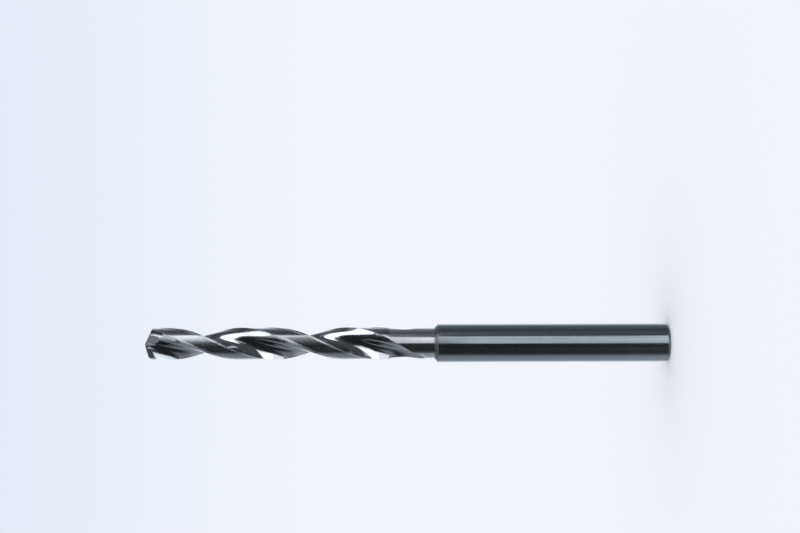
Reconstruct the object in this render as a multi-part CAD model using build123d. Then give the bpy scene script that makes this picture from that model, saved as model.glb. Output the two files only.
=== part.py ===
from build123d import *
import os
from math import asin, ceil, cos, degrees, radians, sin, sqrt, tan

# Solid carbide twist drill with coolant holes, standing on its shank end.
# The origin is the centre of the shank's end face, and +Z runs along the axis to the point.
# Directions are polar angles about the axis. They grow with height along the flutes, so the
# helix is right-handed. The drill cuts as it turns towards growing angles, and "ahead" means
# that way.

# Overall sizes, in millimetres and degrees
overall_length = 82.0
cutting_diameter = 5.0
shank_diameter = 6.0
shank_length = 36.0
shank_chamfer = 0.4
shoulder_angle = 45.0
neck_diameter = 4.8

# Flutes: the two are alike, half a turn apart, and full from the point to the neck
full_flute_length = 38.4
helix_lead = 33.1
flute_angle = 121.0
web_thickness = 1.5
web_direction = 66.0
face_angle = 4.0
knee_radius = 1.65
knee_direction = 97.0
heel_angle = 42.0

# Run-out: the grinding wheel leaves on a curve, and the flute lags behind the helix
run_out_radius = 8.5
run_out_direction = 95.0
run_out_lag = 27.0

# Lands: a leading and a trailing margin with a shallow clearance between them
leading_margin = 0.34
trailing_margin = 0.40
clearance_depth = 0.07

# Point: four facets that meet on the axis, two behind each lip
point_angle = 135.0
lip_relief = 8.0
heel_relief = 16.0
lip_direction = 35.0

# Web thinning: a notch beside each lip that shortens the chisel edge
thinning_slope = 17.0
thinning_core = 0.12
thinning_direction = 40.0
thinning_face_direction = 12.0
thinning_heel_direction = 117.0
thinning_length = 2.4

# Coolant holes, on the middle line of each land
coolant_hole_diameter = 0.7
coolant_hole_sides = 8
coolant_circle_diameter = 1.8

# Turn from one guide section to the next, and how far cutters reach past what they cut
guide_step = 20.0
run_out_guide_step = 8.0
coolant_guide_step = 45.0
reach = 1.0

# Worked out from the sizes above
body_radius = cutting_diameter / 2
shank_radius = shank_diameter / 2
neck_radius = neck_diameter / 2
web_radius = web_thickness / 2
land_angle = 180.0 - flute_angle
point_slope = 90.0 - point_angle / 2
lip_heading = lip_direction - degrees(asin(web_radius / body_radius))
corner_height = overall_length - body_radius * tan(radians(point_slope))
shoulder_top = shank_length + (shank_radius - neck_radius) / tan(radians(shoulder_angle))
neck_top = overall_length - full_flute_length


def polar(radius, direction):
    return Vector(radius * cos(radians(direction)), radius * sin(radians(direction)))


def twist(height):
    """Direction of the first leading edge at a height."""
    return lip_direction + 360.0 * (height - corner_height) / helix_lead


def heights(bottom, top, step):
    """Heights of the guide sections between two levels."""
    count = ceil((top - bottom) / helix_lead * 360.0 / step)
    return [bottom + (top - bottom) * i / count for i in range(count + 1)]


def placed(section, height, lag=0.0):
    """A section drawn from the first leading edge, brought to its height and direction."""
    return Pos(0, 0, height) * Rot(0, 0, twist(height) + lag) * section


def pair(shape):
    """The shape and its twin on the other side of the axis."""
    return [shape, Rot(0, 0, 180) * shape]


def shank_and_neck():
    outline = Polyline(
        (0, 0),
        (shank_radius - shank_chamfer, 0),
        (shank_radius, shank_chamfer),
        (shank_radius, shank_length),
        (neck_radius, shoulder_top),
        (neck_radius, neck_top),
        (0, neck_top),
        close=True,
    )
    # The seam of the round faces is turned to the middle of a land, clear of the flutes.
    land_middle = twist(neck_top) - land_angle / 2
    return Rot(0, 0, land_middle) * revolve(Plane.XZ * make_face(outline), Axis.Z)


# Ends of a flute's curve, and its directions there: in along the cutting face, out by the heel
flute_edge = polar(body_radius, 0)
flute_heel = polar(body_radius, flute_angle)
along_face = polar(1, 180 - face_angle)
along_heel = polar(1, flute_angle + heel_angle)


def flute_curve():
    """A flute's outline from its cutting face past the web and the knee to its heel."""
    web = polar(web_radius, web_direction)
    knee = polar(knee_radius, knee_direction)
    return Spline(flute_edge, web, knee, flute_heel, tangents=[along_face, along_heel])


def arc(radius, start, end):
    return ThreePointArc(polar(radius, start), polar(radius, (start + end) / 2), polar(radius, end))


def body_section():
    """Section of the fluted body: two lands with their margins, and the flutes between."""
    front = -degrees(leading_margin / body_radius)
    back = degrees(trailing_margin / body_radius) - land_angle
    low = body_radius - clearance_depth
    land = (
        arc(body_radius, 0, front)
        + Line(polar(body_radius, front), polar(low, front))
        + arc(low, front, back)
        + Line(polar(low, back), polar(body_radius, back))
        + arc(body_radius, back, -land_angle)
    )
    half = land + Rot(0, 0, 180) * flute_curve()
    return make_face(half + Rot(0, 0, 180) * half)


def body():
    return loft([placed(body_section(), h) for h in heights(neck_top, overall_length + reach, guide_step)])


def run_out():
    """Cutter for the end of a flute in the neck, where the grinding wheel leaves it."""
    past_edge = flute_edge - along_face * reach
    past_heel = flute_heel + along_heel * reach
    far = polar(2 * body_radius, flute_angle / 2)
    section = make_face(flute_curve() + Polyline(flute_heel, past_heel, far, past_edge, flute_edge))

    def length(lift):
        return sqrt(2 * run_out_radius * lift - lift**2)

    depth = body_radius - web_radius
    sections = []
    for height in heights(neck_top - length(depth + reach), neck_top, run_out_guide_step):
        below = neck_top - height
        lift = run_out_radius - sqrt(run_out_radius**2 - below**2)
        lag = run_out_lag * (below / length(depth)) ** 2
        sections.append(placed(Pos(polar(lift, run_out_direction)) * section, height, lag))
    return loft(sections)


def coolant_hole():
    """Cutter for a coolant hole, which follows the middle of a land through the drill.

    Its flat sides stay within a few hundredths of a millimetre of round.
    """
    centre = polar(coolant_circle_diameter / 2, -land_angle / 2)
    section = Pos(centre) * RegularPolygon(coolant_hole_diameter / 2, coolant_hole_sides)
    levels = heights(-reach, overall_length + reach, coolant_guide_step)
    return loft([placed(section, height) for height in levels])


def facet(relief):
    """Everything above one facet of the point.

    The facet falls along the lip by the point angle, and behind the lip by its relief.
    """
    size = 4 * body_radius
    along_lip = polar(1, lip_heading) - Vector(0, 0, tan(radians(point_slope)))
    behind_lip = polar(1, lip_heading - 90) - Vector(0, 0, tan(radians(relief)))
    plane = Plane((0, 0, overall_length), x_dir=along_lip, z_dir=behind_lip.cross(along_lip))
    return plane * Box(size, size, size, align=(Align.CENTER, Align.CENTER, Align.MIN))


def thinning():
    """Cutter for a short V-shaped notch that starts beside the axis and leaves by the flute."""
    size = 4 * body_radius
    heading = polar(1, lip_direction + thinning_direction)
    slope = radians(thinning_slope)
    run = heading * sin(slope) - Vector(0, 0, cos(slope))
    start = Vector(0, 0, overall_length) + heading * thinning_core - run * reach
    face_side = start + polar(size, lip_direction + thinning_face_direction)
    heel_side = start + polar(size, lip_direction + thinning_heel_direction)
    section = make_face(Polyline(start, face_side, heel_side, close=True))
    return extrude(section, reach + thinning_length / cos(slope), dir=run)


def drill_bit():
    drill = shank_and_neck() - pair(run_out()) + body()
    for cutter in (facet(lip_relief), facet(heel_relief), thinning(), coolant_hole()):
        drill = drill - pair(cutter)
    return drill


os.makedirs("parts", exist_ok=True)
export_step(drill_bit(), "parts/drill_bit.step")
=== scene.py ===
from math import asin, atan, atan2, ceil, cos, degrees, pi, radians, sin, sqrt, tan

import bmesh
import bpy
import numpy as np
from mathutils import Matrix, Vector


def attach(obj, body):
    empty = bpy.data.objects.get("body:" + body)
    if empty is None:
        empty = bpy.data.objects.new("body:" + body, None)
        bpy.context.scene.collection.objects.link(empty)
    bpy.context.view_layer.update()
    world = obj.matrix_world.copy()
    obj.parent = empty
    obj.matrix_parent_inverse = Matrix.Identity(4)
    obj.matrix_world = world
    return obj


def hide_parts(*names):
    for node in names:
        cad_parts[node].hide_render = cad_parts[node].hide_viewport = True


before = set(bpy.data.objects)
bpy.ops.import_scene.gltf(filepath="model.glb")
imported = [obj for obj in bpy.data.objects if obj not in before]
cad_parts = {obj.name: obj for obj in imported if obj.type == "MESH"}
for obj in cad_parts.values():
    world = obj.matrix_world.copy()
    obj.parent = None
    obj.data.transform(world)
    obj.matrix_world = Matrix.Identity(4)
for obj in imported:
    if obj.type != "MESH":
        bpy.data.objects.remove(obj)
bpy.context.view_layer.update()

MM = 0.001

# A solid-carbide twist drill that stands on its shank end, with +Z towards its point.
# It is one mesh, with the sizes of the solids in millimetres and degrees.
OVERALL = 82.0
CUT_R = 2.5
SHANK_R = 3.0
SHANK_LENGTH = 36.0
SHANK_CHAMFER = 0.4
NECK_R = 2.4
SHOULDER_TOP = SHANK_LENGTH + (SHANK_R - NECK_R)

# Flutes
FULL_FLUTE_LENGTH = 38.4
NECK_TOP = OVERALL - FULL_FLUTE_LENGTH
LEAD = 33.1
FLUTE_ANGLE = 121.0
WEB_R = 0.75
WEB_DIRECTION = 66.0
FACE_ANGLE = 4.0
KNEE_R = 1.65
KNEE_DIRECTION = 97.0
HEEL_ANGLE = 42.0

# Run-out: the grinding wheel leaves on a curve, and the flute lags behind the helix
RUN_OUT_R = 8.5
RUN_OUT_DIRECTION = 95.0
RUN_OUT_LAG = 27.0

# Lands
LAND_ANGLE = 180.0 - FLUTE_ANGLE
LEADING_MARGIN = 0.34
TRAILING_MARGIN = 0.40
CLEARANCE = 0.07

# Point
POINT_SLOPE = 22.5
LIP_RELIEF = 8.0
HEEL_RELIEF = 16.0
LIP_DIRECTION = 35.0
LIP_HEADING = LIP_DIRECTION - degrees(asin(WEB_R / CUT_R))
CORNER = OVERALL - CUT_R * tan(radians(POINT_SLOPE))

# Web thinning: a notch beside each lip
THINNING_SLOPE = 17.0
THINNING_CORE = 0.12
THINNING_DIRECTION = 40.0
THINNING_FACE_DIRECTION = 12.0
THINNING_HEEL_DIRECTION = 117.0
THINNING_LENGTH = 2.4

# Coolant holes
COOLANT_HOLE_R = 0.35
COOLANT_CIRCLE_R = 0.9

# How far cutters reach past what they cut
REACH = 1.0

# Points on the curve that the flutes are cut from, and on the straight line past each end of it
CURVE_POINTS = 2001
END_POINTS = 200

# Points along a flute, and round the neck from one flute to the next
FLUTE_POINTS = 48
NECK_ARC = 44

# Faces across a margin, and across the clearance between two margins
MARGIN_FACES = 4
CLEARANCE_FACES = 20

# Rings up the shank, the plain neck, the run-outs and a coolant hole
SHANK_RINGS = 18
NECK_RINGS = 36
RUN_OUT_RINGS = 64
HOLE_RINGS = 90

# The plain neck ends this far below the flutes' start, and the rings above crowd towards it
START_GAP = 0.02
RUN_OUT_CROWDING = 1.4

# Turn from one ring of the body to the next, and from one point of a coolant hole to the next
BODY_STEP = 3.0
HOLE_STEP = 15

# Edges that turn by more than this are sharp
SHARP_ANGLE = 28.0

# Kinds of surface
SHAFT, NECK, MARGIN, RELIEF, FLUTE, LIP_FACET, HEEL_FACET, NOTCH, HOLE, END, BEVEL = range(11)


def polar(radius, direction):
    return np.array((radius * cos(radians(direction)), radius * sin(radians(direction))))


def twist(height):
    """Direction of the first leading edge at a height."""
    return LIP_DIRECTION + 360.0 * (height - CORNER) / LEAD


def turned(points, angle):
    c, s = cos(radians(angle)), sin(radians(angle))
    points = np.asarray(points)
    return np.stack((points[:, 0] * c - points[:, 1] * s, points[:, 0] * s + points[:, 1] * c), 1)


# The flute's directions at its ends: in along the cutting face, out by the heel
ALONG_FACE = polar(1, 180.0 - FACE_ANGLE)
ALONG_HEEL = polar(1, FLUTE_ANGLE + HEEL_ANGLE)

# How far it keeps to them, which gives it the same curve as in the solids
FACE_PULL = 1.298
HEEL_PULL = 1.213


def flute_curve(count):
    """Points of a smooth curve from the cutting face past the web and the knee to the heel."""
    fixed = np.array([polar(CUT_R, 0), polar(WEB_R, WEB_DIRECTION), polar(KNEE_R, KNEE_DIRECTION),
                      polar(CUT_R, FLUTE_ANGLE)])
    start = FACE_PULL * ALONG_FACE
    end = HEEL_PULL * ALONG_HEEL
    span = np.linalg.norm(np.diff(fixed, axis=0), axis=1)
    slope = np.diff(fixed, axis=0) / span[:, None]
    left = np.array(((2 * (span[0] + span[1]), span[0]), (span[2], 2 * (span[1] + span[2]))))
    right = np.array((3 * (span[1] * slope[0] + span[0] * slope[1]) - span[1] * start,
                      3 * (span[2] * slope[1] + span[1] * slope[2]) - span[1] * end))
    speed = np.vstack((start, np.linalg.solve(left, right), end))
    knots = np.concatenate(((0,), np.cumsum(span)))
    places = np.linspace(0, knots[-1], count)
    i = np.clip(np.searchsorted(knots, places, "right") - 1, 0, 2)
    u = ((places - knots[i]) / span[i])[:, None]
    size = span[i][:, None]
    return ((1 + 2 * u) * (1 - u) ** 2 * fixed[i] + u * (1 - u) ** 2 * size * speed[i]
            + u * u * (3 - 2 * u) * fixed[i + 1] + u * u * (u - 1) * size * speed[i + 1])


def resample(points, count):
    """The same curve with this many points, evenly spaced along it."""
    lengths = np.concatenate(((0,), np.cumsum(np.linalg.norm(np.diff(points, axis=0), axis=1))))
    at = np.linspace(0, lengths[-1], count)
    return np.stack([np.interp(at, lengths, points[:, k]) for k in (0, 1)], 1)


def inside_circle(points, radius):
    """The stretch of a curve inside a circle, with its ends on the circle, or None.

    The curve starts and ends outside the circle.
    """
    r = np.hypot(points[:, 0], points[:, 1])
    inside = np.nonzero(r < radius)[0]
    if len(inside) < 2:
        return None

    def crossing(i, j):
        u = (radius - r[i]) / (r[j] - r[i])
        return points[i] + u * (points[j] - points[i])

    first, last = inside[0], inside[-1]
    return np.vstack((crossing(first - 1, first), points[first:last + 1], crossing(last, last + 1)))


def arc(radius, start, end, count):
    return np.array([polar(radius, start + (end - start) * i / count) for i in range(count + 1)])


# A land's outline, back from its leading edge, and the kinds of surface from there to the next land
FRONT = -degrees(LEADING_MARGIN / CUT_R)
BACK = degrees(TRAILING_MARGIN / CUT_R) - LAND_ANGLE
LAND = np.vstack((arc(CUT_R, 0, FRONT, MARGIN_FACES),
                  arc(CUT_R - CLEARANCE, FRONT, BACK, CLEARANCE_FACES),
                  arc(CUT_R, BACK, -LAND_ANGLE, MARGIN_FACES)))
MARGIN_KINDS = [MARGIN] * MARGIN_FACES
LAND_KINDS = MARGIN_KINDS + [END] + [RELIEF] * CLEARANCE_FACES + [END] + MARGIN_KINDS
BODY_KINDS = LAND_KINDS + [FLUTE] * (FLUTE_POINTS + 1)

# A flute's outline in the body, and the one for the neck, which goes on past both its ends
CURVE = flute_curve(CURVE_POINTS)
FULL_FLUTE = turned(resample(inside_circle(CURVE, NECK_R), FLUTE_POINTS)[::-1], 180)
LONG_CURVE = np.vstack((np.linspace(CURVE[0] - ALONG_FACE, CURVE[0], END_POINTS)[:-1], CURVE,
                        np.linspace(CURVE[-1], CURVE[-1] + ALONG_HEEL, END_POINTS)[1:]))


def both(half):
    """Half an outline and the other half, half a turn on."""
    return np.vstack((half, -half))


def body_ring(height):
    """The body's outline: from a leading edge back over its land, then through the next flute."""
    return both(turned(np.vstack((LAND, FULL_FLUTE)), twist(height)))


def cut_in_neck(height):
    """What a flute cuts from the neck where the grinding wheel leaves it, or None."""
    below = NECK_TOP - height
    lift = RUN_OUT_R - sqrt(RUN_OUT_R ** 2 - below ** 2)
    return inside_circle(LONG_CURVE + polar(lift, RUN_OUT_DIRECTION), NECK_R)


def neck_ring(height):
    """The neck's outline: the round part back from a flute's edge, then the next flute."""
    depth = CUT_R - WEB_R
    lag = RUN_OUT_LAG * ((NECK_TOP - height) / sqrt(2 * RUN_OUT_R * depth - depth ** 2)) ** 2
    inner = cut_in_neck(height)
    flute = turned(resample(inner, FLUTE_POINTS)[::-1], 180)
    start = degrees(atan2(inner[0][1], inner[0][0]))
    end = degrees(atan2(flute[0][1], flute[0][0]))
    while end > start:
        end -= 360
    land = arc(NECK_R, start, end, NECK_ARC)[:-1]
    return both(turned(np.vstack((land, flute[:-1])), twist(height) + lag))


def run_out_start():
    """The height at which the flutes first touch the neck, found by halving a 7 mm stretch."""
    low = NECK_TOP - 7.0
    high = NECK_TOP
    for _ in range(40):
        middle = (low + high) / 2
        if cut_in_neck(middle) is None:
            low = middle
        else:
            high = middle
    return high + 1e-4


class Shell:
    """Vertices and faces of a closed surface, gathered ring by ring."""

    def __init__(self):
        self.points = []
        self.faces = []
        self.kinds = []

    def ring(self, outline, height):
        first = len(self.points)
        self.points += [(x, y, height) for x, y in outline]
        return list(range(first, len(self.points)))

    def face(self, corners, kind):
        self.faces.append(corners)
        self.kinds.append(kind)

    def join(self, lower, upper, kinds):
        count = len(lower)
        for i in range(count):
            j = (i + 1) % count
            self.face((lower[j], lower[i], upper[i], upper[j]), kinds[i])

    def stack(self, rings, kinds):
        for lower, upper in zip(rings, rings[1:]):
            self.join(lower, upper, kinds)

    def mesh(self, name):
        mesh = bpy.data.meshes.new(name)
        mesh.from_pydata([tuple(c * MM for c in p) for p in self.points], [], self.faces)
        mesh.polygons.foreach_set("material_index", self.kinds)
        mesh.update()
        return mesh


def shank_and_neck(shell, start):
    """The round part, up to the height where the flutes start. Gives its top ring."""
    touch_ring = neck_ring(start)
    touch = np.degrees(np.unwrap(np.arctan2(touch_ring[:, 1], touch_ring[:, 0])))
    count = len(touch)
    even = touch[0] - 360.0 * np.arange(count) / count
    # Each ring has a height, a radius, how far its points have gathered where the flutes will
    # start, from 0 to 1, and the kind of surface above it.
    rounds = [(0.0, SHANK_R - SHANK_CHAMFER, 0.0, BEVEL), (SHANK_CHAMFER, SHANK_R, 0.0, SHAFT)]
    rounds += [(height, SHANK_R, 0.0, SHAFT) for height in np.linspace(2, SHANK_LENGTH, SHANK_RINGS)[:-1]]
    rounds += [(SHANK_LENGTH, SHANK_R, 0.0, BEVEL)]
    plain_neck = start - START_GAP - SHOULDER_TOP
    for i in range(NECK_RINGS + 1):
        rounds.append((SHOULDER_TOP + plain_neck * i / NECK_RINGS, NECK_R, i / NECK_RINGS, NECK))
    rings = []
    for height, radius, gathered, _ in rounds:
        angles = even + (touch - even) * gathered
        rings.append(shell.ring([polar(radius, angle) for angle in angles], height))
    for lower, upper, (*_, kind) in zip(rings, rings[1:], rounds):
        shell.join(lower, upper, [kind] * count)
    shell.face(tuple(rings[0]), END)
    return rings[-1]


def run_outs(shell, below, start):
    """The neck with the ends of the flutes in it. Gives its top ring."""
    rings = []
    for i in range(RUN_OUT_RINGS + 1):
        height = start + (NECK_TOP - start) * (i / RUN_OUT_RINGS) ** RUN_OUT_CROWDING
        rings.append(shell.ring(neck_ring(height), height))
    shell.join(below, rings[0], [NECK] * len(below))
    shell.stack(rings, ([NECK] * NECK_ARC + [FLUTE] * (FLUTE_POINTS - 1)) * 2)
    return rings[-1]


def fluted_body(shell):
    """The body from the neck to past the point. Gives its lowest ring."""
    length = OVERALL + REACH - NECK_TOP
    levels = ceil(length / LEAD * 360.0 / BODY_STEP)
    rings = []
    for i in range(levels + 1):
        height = NECK_TOP + length * i / levels
        rings.append(shell.ring(body_ring(height), height))
    shell.stack(rings, BODY_KINDS * 2)
    shell.face(tuple(reversed(rings[-1])), END)
    return rings[0]


def land_ends(shell, neck_top, body_bottom):
    """The level step from the neck out to each land."""
    half = len(body_bottom) // 2
    neck_half = len(neck_top) // 2
    for side in (0, 1):
        crossing = body_bottom[side * half - 1]
        land = body_bottom[side * half:side * half + len(LAND) + 1]
        round_part = neck_top[side * neck_half + 1:side * neck_half + NECK_ARC]
        shell.face(tuple([crossing] + land + round_part[::-1]), END)


def blank():
    """The drill before its point is ground: its mesh, and the bmesh to grind."""
    shell = Shell()
    start = run_out_start()
    neck_top = run_outs(shell, shank_and_neck(shell, start), start)
    land_ends(shell, neck_top, fluted_body(shell))
    mesh = shell.mesh("drill")
    bm = bmesh.new()
    bm.from_mesh(mesh)
    bmesh.ops.remove_doubles(bm, verts=bm.verts, dist=1e-8)
    bmesh.ops.recalc_face_normals(bm, faces=bm.faces)
    return mesh, bm


def grind_facet(bm, relief, turn, kind):
    """Cuts the point with one plane through its tip, and closes the cut."""
    direction = LIP_HEADING + turn
    along = Vector((*polar(1, direction), -tan(radians(POINT_SLOPE))))
    behind = Vector((*polar(1, direction - 90), -tan(radians(relief))))
    bmesh.ops.bisect_plane(bm, geom=bm.verts[:] + bm.edges[:] + bm.faces[:], dist=1e-9,
                           plane_co=(0, 0, OVERALL * MM), plane_no=behind.cross(along), clear_outer=True)
    rim = [edge for edge in bm.edges if edge.is_boundary]
    for face in bmesh.ops.edgeloop_fill(bm, edges=rim)["faces"]:
        face.material_index = kind


def cut_away(obj, tool_mesh):
    """Takes a closed mesh away from an object."""
    tool = bpy.data.objects.new("tool", tool_mesh)
    bpy.context.collection.objects.link(tool)
    for material in obj.data.materials:
        tool_mesh.materials.append(material)
    cut = obj.modifiers.new("cut", "BOOLEAN")
    cut.operation = "DIFFERENCE"
    cut.solver = "EXACT"
    cut.object = tool
    bpy.context.view_layer.update()
    depsgraph = bpy.context.evaluated_depsgraph_get()
    result = bpy.data.meshes.new_from_object(obj.evaluated_get(depsgraph))
    obj.modifiers.remove(cut)
    bpy.data.objects.remove(tool)
    obj.data = result


def outward(mesh):
    """The same mesh with all its faces turned outwards."""
    bm = bmesh.new()
    bm.from_mesh(mesh)
    bmesh.ops.recalc_face_normals(bm, faces=bm.faces)
    bm.to_mesh(mesh)
    bm.free()
    return mesh


def notch_tool(turn):
    """A V-shaped notch that starts beside the axis and leaves by the flute."""
    size = 4 * CUT_R
    slope = radians(THINNING_SLOPE)
    away = LIP_DIRECTION + THINNING_DIRECTION + turn
    run = np.append(polar(1, away) * sin(slope), -cos(slope))
    start = np.append(polar(THINNING_CORE, away), OVERALL) - run * REACH
    face_side = start + np.append(polar(size, LIP_DIRECTION + THINNING_FACE_DIRECTION + turn), 0)
    heel_side = start + np.append(polar(size, LIP_DIRECTION + THINNING_HEEL_DIRECTION + turn), 0)
    upper = [start, face_side, heel_side]
    length = REACH + THINNING_LENGTH / cos(slope)
    shell = Shell()
    shell.points = [tuple(p) for p in upper] + [tuple(p + run * length) for p in upper]
    for corners in ((0, 2, 1), (3, 4, 5), (0, 1, 4, 3), (1, 2, 5, 4), (2, 0, 3, 5)):
        shell.face(corners, NOTCH)
    return outward(shell.mesh("notch"))


def hole_tool(turn):
    """A coolant hole, which follows the middle of a land through the drill."""
    shell = Shell()
    low, high = -REACH, OVERALL + REACH
    centre = polar(COOLANT_CIRCLE_R, -LAND_ANGLE / 2)
    outline = [centre + polar(COOLANT_HOLE_R, angle) for angle in range(0, 360, HOLE_STEP)]
    rings = []
    for i in range(HOLE_RINGS + 1):
        height = low + (high - low) * i / HOLE_RINGS
        rings.append(shell.ring(turned(outline, twist(height) + turn), height))
    shell.stack(rings, [HOLE] * len(outline))
    shell.face(tuple(rings[0]), HOLE)
    shell.face(tuple(reversed(rings[-1])), HOLE)
    return outward(shell.mesh("hole"))


def shade(mesh):
    """Smooths the surface, and keeps the edges sharp that turn sharply or part two kinds."""
    bm = bmesh.new()
    bm.from_mesh(mesh)
    for face in bm.faces:
        face.smooth = True
    for edge in bm.edges:
        kinds = {face.material_index for face in edge.link_faces}
        edge.smooth = len(kinds) == 1 and edge.calc_face_angle(0) < radians(SHARP_ANGLE)
    bm.to_mesh(mesh)
    bm.free()


class Nodes:
    """The nodes of a material or of the world."""

    def __init__(self, tree):
        self.tree = tree

    def node(self, kind, **values):
        made = self.tree.nodes.new("ShaderNode" + kind)
        for key, value in values.items():
            setattr(made, key, value)
        return made

    def feed(self, socket, value):
        """Links a node's output to a socket, or sets a plain value on it."""
        if isinstance(value, bpy.types.NodeSocket):
            self.tree.links.new(value, socket)
        else:
            socket.default_value = value

    def maths(self, operation, first, second):
        made = self.node("Math", operation=operation)
        self.feed(made.inputs[0], first)
        self.feed(made.inputs[1], second)
        return made.outputs[0]

    def vectors(self, operation, first, second):
        made = self.node("VectorMath", operation=operation)
        self.feed(made.inputs[0], first)
        self.feed(made.inputs[1], second)
        return made.outputs["Value" if operation == "DOT_PRODUCT" else "Vector"]

    def split(self, vector):
        """A vector's x, y and z."""
        made = self.node("SeparateXYZ")
        self.feed(made.inputs[0], vector)
        return made.outputs

    def mix(self, factor, first, second, data_type="RGBA"):
        made = self.node("Mix", data_type=data_type)
        self.feed(made.inputs["Factor"], factor)
        self.feed(made.inputs["A"], first)
        self.feed(made.inputs["B"], second)
        return made.outputs["Result"]

    def spread(self, value, start, end, low=0.0, high=1.0, change="LINEAR"):
        """Low up to the start, high from the end on, and a change between them."""
        made = self.node("MapRange", interpolation_type=change)
        made.inputs["From Min"].default_value = start
        made.inputs["From Max"].default_value = end
        made.inputs["To Min"].default_value = low
        made.inputs["To Max"].default_value = high
        self.feed(made.inputs["Value"], value)
        return made.outputs[0]

    def noise(self, place, scale, detail):
        made = self.node("TexNoise")
        made.inputs["Scale"].default_value = scale
        made.inputs["Detail"].default_value = detail
        self.feed(made.inputs["Vector"], place)
        return made.outputs["Fac"]


def new_material(name):
    material = bpy.data.materials.new(name)
    material.use_nodes = True
    return material, Nodes(material.node_tree)


# Metal colours. Two of them paint light: a lighter one is a painted highlight on the neck and margins,
# and a darker one is painted shade on the bevels.
CARBIDE = (0.555, 0.575, 0.605)
SHANK_TINT = (0.505, 0.56, 0.605)
LAND_TINT = (0.51, 0.525, 0.55)
# Painted shade: darker than carbide, so that the shoulder cone and the shank's end chamfer reflect darker
PAINTED_SHADE_BEVEL_METAL = (0.36, 0.375, 0.40)
# Painted highlight: lighter than carbide, so that the neck and the margins reflect brighter
PAINTED_HIGHLIGHT_METAL = (0.86, 0.87, 0.89)

# How closely the grinding lines follow each other along x, y and z: lines round the axis, along
# the flutes, and on a flat face
ROUND = (0.3 / MM, 0.3 / MM, 14 / MM)
ALONG = (12 / MM, 12 / MM, 0.15 / MM)
FACE = (14 / MM, 0.6 / MM, 0.6 / MM)

# Broad clouds lie over the lines. The two together are the mottle, and most of it is between
# these two values.
CLOUD_SCALE = 0.35 / MM
CLOUD_SHARE = 0.35
NOISE_LOW = 0.3
NOISE_HIGH = 0.7

# The mottle takes the metal's colour and roughness between these shares of their values.
DARKEST = 0.9
LIGHTEST = 1.08
SMOOTHEST = 0.93
ROUGHEST = 1.07


def carbide(name, lines, roughness, depth=0.0006, drawn=0.0, metal=CARBIDE, twisted=False):
    """Ground carbide: fine lines left by the wheel, in their own direction on each surface.

    The depth of the lines is in millimetres. Drawn is how far they spread a reflection.
    """
    material, nodes = new_material(name)
    shader = nodes.tree.nodes["Principled BSDF"]
    shader.inputs["Metallic"].default_value = 1.0
    if drawn:
        # Lines ground round the axis spread a reflection along the axis.
        shader.inputs["Anisotropic"].default_value = drawn
        shader.inputs["Anisotropic Rotation"].default_value = 0.25
        round_axis = nodes.node("Tangent", direction_type="RADIAL", axis="Z")
        nodes.feed(shader.inputs["Tangent"], round_axis.outputs[0])
    on_drill = nodes.node("TexCoord").outputs["Object"]
    place = on_drill
    if twisted:
        # Turned back by the helix, so that the lines run along the flutes
        angle = nodes.maths("MULTIPLY", nodes.split(on_drill)["Z"], -2 * pi / (LEAD * MM))
        untwist = nodes.node("VectorRotate", rotation_type="Z_AXIS")
        nodes.feed(untwist.inputs["Vector"], on_drill)
        nodes.feed(untwist.inputs["Angle"], angle)
        place = untwist.outputs[0]
    scaled = nodes.node("Mapping")
    nodes.feed(scaled.inputs["Scale"], lines)
    nodes.feed(scaled.inputs["Vector"], place)
    fine = nodes.noise(scaled.outputs[0], 1.0, 3.0)
    clouds = nodes.noise(on_drill, CLOUD_SCALE, 4.0)
    mottle = nodes.mix(CLOUD_SHARE, fine, clouds, data_type="FLOAT")
    share = nodes.spread(mottle, NOISE_LOW, NOISE_HIGH)
    dark = (*[c * DARKEST for c in metal], 1)
    light = (*[min(c * LIGHTEST, 1) for c in metal], 1)
    nodes.feed(shader.inputs["Base Color"], nodes.mix(share, dark, light))
    rough = nodes.spread(mottle, NOISE_LOW, NOISE_HIGH, roughness * SMOOTHEST, roughness * ROUGHEST)
    nodes.feed(shader.inputs["Roughness"], rough)
    bump = nodes.node("Bump")
    bump.inputs["Strength"].default_value = 1.0
    bump.inputs["Distance"].default_value = depth * MM
    nodes.feed(bump.inputs["Height"], fine)
    nodes.feed(shader.inputs["Normal"], bump.outputs[0])
    return material


FINISHES = {
    SHAFT: carbide("carbide_shank", ROUND, 0.17, depth=0.00008, drawn=0.8, metal=SHANK_TINT),
    # The neck and the margins take the lighter metal, a painted highlight
    NECK: carbide("carbide_neck_painted_highlight", ROUND, 0.17, depth=0.00004, drawn=0.5, metal=PAINTED_HIGHLIGHT_METAL),
    MARGIN: carbide("carbide_margin_painted_highlight", ROUND, 0.34, depth=0.00006, drawn=1.0, metal=PAINTED_HIGHLIGHT_METAL),
    RELIEF: carbide("carbide_land", ROUND, 0.22, depth=0.00002, drawn=0.88, metal=LAND_TINT),
    FLUTE: carbide("carbide_flute", ALONG, 0.12, twisted=True),
    LIP_FACET: carbide("carbide_lip", FACE, 0.2),
    HEEL_FACET: carbide("carbide_heel", FACE, 0.2),
    NOTCH: carbide("carbide_notch", FACE, 0.2),
    HOLE: carbide("carbide_hole", ROUND, 0.4),
    END: carbide("carbide_end", ROUND, 0.25),
    # The bevels take the darker metal, painted shade
    BEVEL: carbide("carbide_bevel_painted_shade", ROUND, 0.5, depth=0.00006, drawn=1.0, metal=PAINTED_SHADE_BEVEL_METAL),
}

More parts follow.
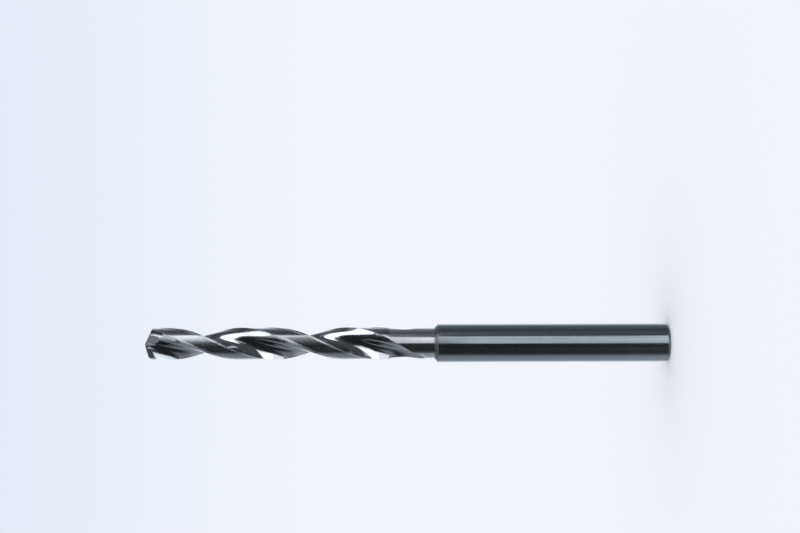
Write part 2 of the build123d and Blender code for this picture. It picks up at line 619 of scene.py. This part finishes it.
mesh, bm = blank()
for turn in (0, 180):
    grind_facet(bm, LIP_RELIEF, turn, LIP_FACET)
    grind_facet(bm, HEEL_RELIEF, turn, HEEL_FACET)
bmesh.ops.recalc_face_normals(bm, faces=bm.faces)
bm.to_mesh(mesh)
bm.free()
for kind in sorted(FINISHES):
    mesh.materials.append(FINISHES[kind])
drill = bpy.data.objects.new("drill", mesh)
bpy.context.collection.objects.link(drill)
for tool in (notch_tool, hole_tool):
    for turn in (0, 180):
        cut_away(drill, tool(turn))
shade(drill.data)
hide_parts("drill_bit")
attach(drill, "root")

# Floor
PALE = (0.885, 0.905, 0.955)
bpy.ops.mesh.primitive_plane_add(size=6.0)
floor = bpy.context.object
floor.name = "floor"
floor.visible_glossy = False
paper, nodes = new_material("paper")
shader = nodes.tree.nodes["Principled BSDF"]
shader.inputs["Base Color"].default_value = (*PALE, 1)
shader.inputs["Roughness"].default_value = 0.9
shader.inputs["Specular IOR Level"].default_value = 0
floor.data.materials.append(paper)

# Studio. Light that only the drill's reflections see has one of these two tints.
COOL = (0.96, 1.0, 1.04)
COLD = (0.92, 1.0, 1.1)


def heading(azimuth, elevation):
    """A direction by its angle from the camera's side towards +X, and its angle above level."""
    a, e = radians(azimuth), radians(elevation)
    return Vector((sin(a) * cos(e), -cos(a) * cos(e), sin(e)))


class Sky(Nodes):
    """The studio round the drill, as light that depends on its direction only."""

    def __init__(self, tree):
        super().__init__(tree)
        self.ray = self.node("TexCoord").outputs["Generated"]

    def edge(self, first, second, centre, soft):
        """1 on the centre's side of the line through two headings, 0 on the other side."""
        normal = heading(*first).cross(heading(*second)).normalized()
        if normal.dot(centre) < 0:
            normal = -normal
        side = self.vectors("DOT_PRODUCT", self.ray, normal)
        width = sin(radians(soft))
        return self.spread(side, -width, width, change="SMOOTHSTEP")

    def box(self, strength, soft, *corners):
        """A soft-edged light with these corners, named in the order they come round it."""
        value = strength
        centre = sum((heading(*corner) for corner in corners), Vector())
        for first, second in zip(corners, corners[1:] + corners[:1]):
            value = self.maths("MULTIPLY", self.edge(first, second, centre, soft), value)
        return value

    def ramp(self, stops, tint):
        """Light by the angle from the camera's side alone."""
        ray = self.split(self.ray)
        angle = self.maths("ARCTAN2", ray["X"], self.maths("MULTIPLY", ray["Y"], -1.0))
        ramp = self.node("ValToRGB")
        self.feed(ramp.inputs[0], self.maths("ADD", self.maths("MULTIPLY", angle, 0.5 / pi), 0.5))
        elements = ramp.color_ramp.elements
        for i, (degree, value) in enumerate(stops):
            # A new ramp has two stops already.
            stop = elements[i] if i < 2 else elements.new(1.0)
            stop.position = (degree + 180) / 360
            stop.color = (*[value * t for t in tint], 1)
        return ramp.outputs["Color"]


world = bpy.data.worlds.new("studio")
bpy.context.scene.world = world
world.use_nodes = True
world.cycles.sampling_method = "NONE"
sky = Sky(world.node_tree)
# Angles from the camera's side towards +X, and the strength of the light there
light = sky.ramp([(-180, 0.87), (-150, 0.85), (-142, 0.7), (-130, 0.42), (-115, 0.32), (-86, 0.28),
                  (-78, 0.17), (-68, 0.06), (-58, 0.02), (10, 0.02), (48, 0.08), (72, 0.1), (88, 0.07),
                  (102, 0.11), (128, 0.18), (142, 0.45), (152, 0.85), (180, 0.87)], COLD)
for box in (sky.box(0.8, 3.0, (-14, 33), (-16, 55), (-66, 55), (-66, 34)),
            sky.box(0.3, 4.0, (-38, -30), (-38, -62), (-70, -62), (-66, -38)),
            sky.box(0.22, 8.0, (-115, -12), (-115, -30), (-30, -30), (-25, -16))):
    light = sky.vectors("ADD", light, sky.vectors("MULTIPLY", box, COOL))

# Diffuse rays see plain white, and the camera sees a pale backdrop that turns bluer upwards.
HIGH_PALE = (0.785, 0.84, 0.94)
path = sky.node("LightPath")
plain = sky.mix(path.outputs["Is Diffuse Ray"], light, (1, 1, 1, 1))
rise = sky.spread(sky.split(sky.ray)["Z"], 0.02, 0.34, change="SMOOTHSTEP")
backdrop = sky.mix(rise, (*PALE, 1), (*HIGH_PALE, 1))
seen = sky.mix(path.outputs["Is Camera Ray"], plain, backdrop)
sky.feed(world.node_tree.nodes["Background"].inputs["Color"], seen)


def panel(name, strength, rim):
    """A lit panel that only reflections see. It adds to the light behind it."""
    count = len(rim)
    centre = sum(rim, Vector()) / count
    fan = bpy.data.meshes.new(name)
    fan.from_pydata([centre] + rim, [], [(0, i + 1, (i + 1) % count + 1) for i in range(count)])
    material, nodes = new_material(name)
    nodes.tree.nodes.remove(nodes.tree.nodes["Principled BSDF"])
    glow = nodes.node("Emission")
    glow.inputs["Color"].default_value = (*COOL, 1)
    glow.inputs["Strength"].default_value = strength
    surface = nodes.node("AddShader")
    nodes.feed(surface.inputs[0], glow.outputs[0])
    nodes.feed(surface.inputs[1], nodes.node("BsdfTransparent").outputs[0])
    nodes.feed(nodes.tree.nodes["Material Output"].inputs["Surface"], surface.outputs[0])
    fan.materials.append(material)
    made = bpy.data.objects.new(name, fan)
    bpy.context.collection.objects.link(made)
    made.visible_camera = False
    made.visible_diffuse = False
    made.visible_shadow = False


def up(height):
    return Vector((0, 0, height * MM))


FLUTES_MIDDLE = 62


def facing_flutes(distance, *corners):
    """Corners given by their headings from the middle of the flutes."""
    return [up(FLUTES_MIDDLE) + heading(*corner) * (distance * MM) for corner in corners]


def facing_shank(distance, *corners):
    """Corners given by their headings round the axis and their heights."""
    return [heading(azimuth, 0) * (distance * MM) + up(height) for azimuth, height in corners]


# Distances of the panels, in millimetres
FAR = 500
MIDWAY = 220
NEAR = 60
NEXT_TO_NECK = 12

# Softboxes round the camera
panel("lower_softbox", 1.38, facing_flutes(
    FAR, (-38, -37), (-8, -29), (15, -24), (43, -16), (48, -26), (32, -48), (20, -60), (-10, -62),
    (-38, -54)))
panel("upper_softbox", 2.0, facing_flutes(
    MIDWAY, (60, 1), (71, 9), (66, 24), (60, 30), (40, 37), (15, 42), (-16, 43), (-16, 38), (0, 29)))

# Strips close to the drill, each beside the stretch that it lights
panel("shank_strip", 0.4, facing_shank(
    NEAR, (0.5, 32), (30, 36), (42, 38), (42, 14), (30, -10), (24, -30), (0.5, -30)))
panel("shank_low_half", 0.17, facing_shank(NEAR, (0.5, 32), (26, 35), (26, -10), (18, -30), (0.5, -30)))
panel("shank_high_half", 0.17, facing_shank(NEAR, (32, 35), (42, 38), (42, 12), (37, -2), (32, -6)))
panel("land_strip", 0.55, facing_shank(NEAR, (16, 72), (44, 74), (50, 88), (16, 86)))
panel("neck_strip", 0.52, facing_shank(NEXT_TO_NECK, (4, 36.3), (46, 36.3), (46, 47), (4, 47)))
panel("land_glow", 0.2, facing_shank(NEAR, (50, 74), (88, 76), (88, 90), (50, 86)))
panel("shoulder_strip", 0.14, facing_shank(NEAR, (2, 32), (30, 36), (41, 38), (41, 20), (2, 20)))

# Camera: the picture's width and middle and the focal length, in pixels
PICTURE_WIDTH = 800
MIDDLE_COLUMN = 400
MIDDLE_ROW = 266.5
FOCAL_LENGTH = 1290
PIXELS_PER_MM = 6.37

# The tip's place in the picture, the slope of the drill's axis, and its row in the middle column
TIP_COLUMN = 144.9
TIP_ROW = 344.0
AXIS_SLOPE = 1.5 / 522
AXIS_ROW = TIP_ROW - 255.0 * AXIS_SLOPE

# The camera's distance from the drill's axis, and the width of its sensor, in millimetres
CAMERA_DISTANCE = 202.5
SENSOR_WIDTH = 36.0

scene = bpy.context.scene
scene.view_settings.view_transform = "Standard"
camera = bpy.data.objects.new("camera", bpy.data.cameras.new("camera"))
bpy.context.collection.objects.link(camera)
camera.data.sensor_width = SENSOR_WIDTH
camera.data.lens = FOCAL_LENGTH / PICTURE_WIDTH * SENSOR_WIDTH
camera.data.clip_start = 0.01
side = (AXIS_ROW - MIDDLE_ROW) / PIXELS_PER_MM
level = OVERALL - (MIDDLE_COLUMN - TIP_COLUMN) / PIXELS_PER_MM
place = Matrix.Translation(Vector((side, -CAMERA_DISTANCE, level)) * MM)
# The camera lies on its side, so that the standing drill lies across the picture: its right is
# -Z, its top is +X, and it looks along +Y.
lying = Matrix(((0, 0, -1), (1, 0, 0), (0, -1, 0))).transposed()
camera.matrix_world = place @ lying.to_4x4() @ Matrix.Rotation(atan(AXIS_SLOPE), 4, "Z").inverted()
scene.camera = camera
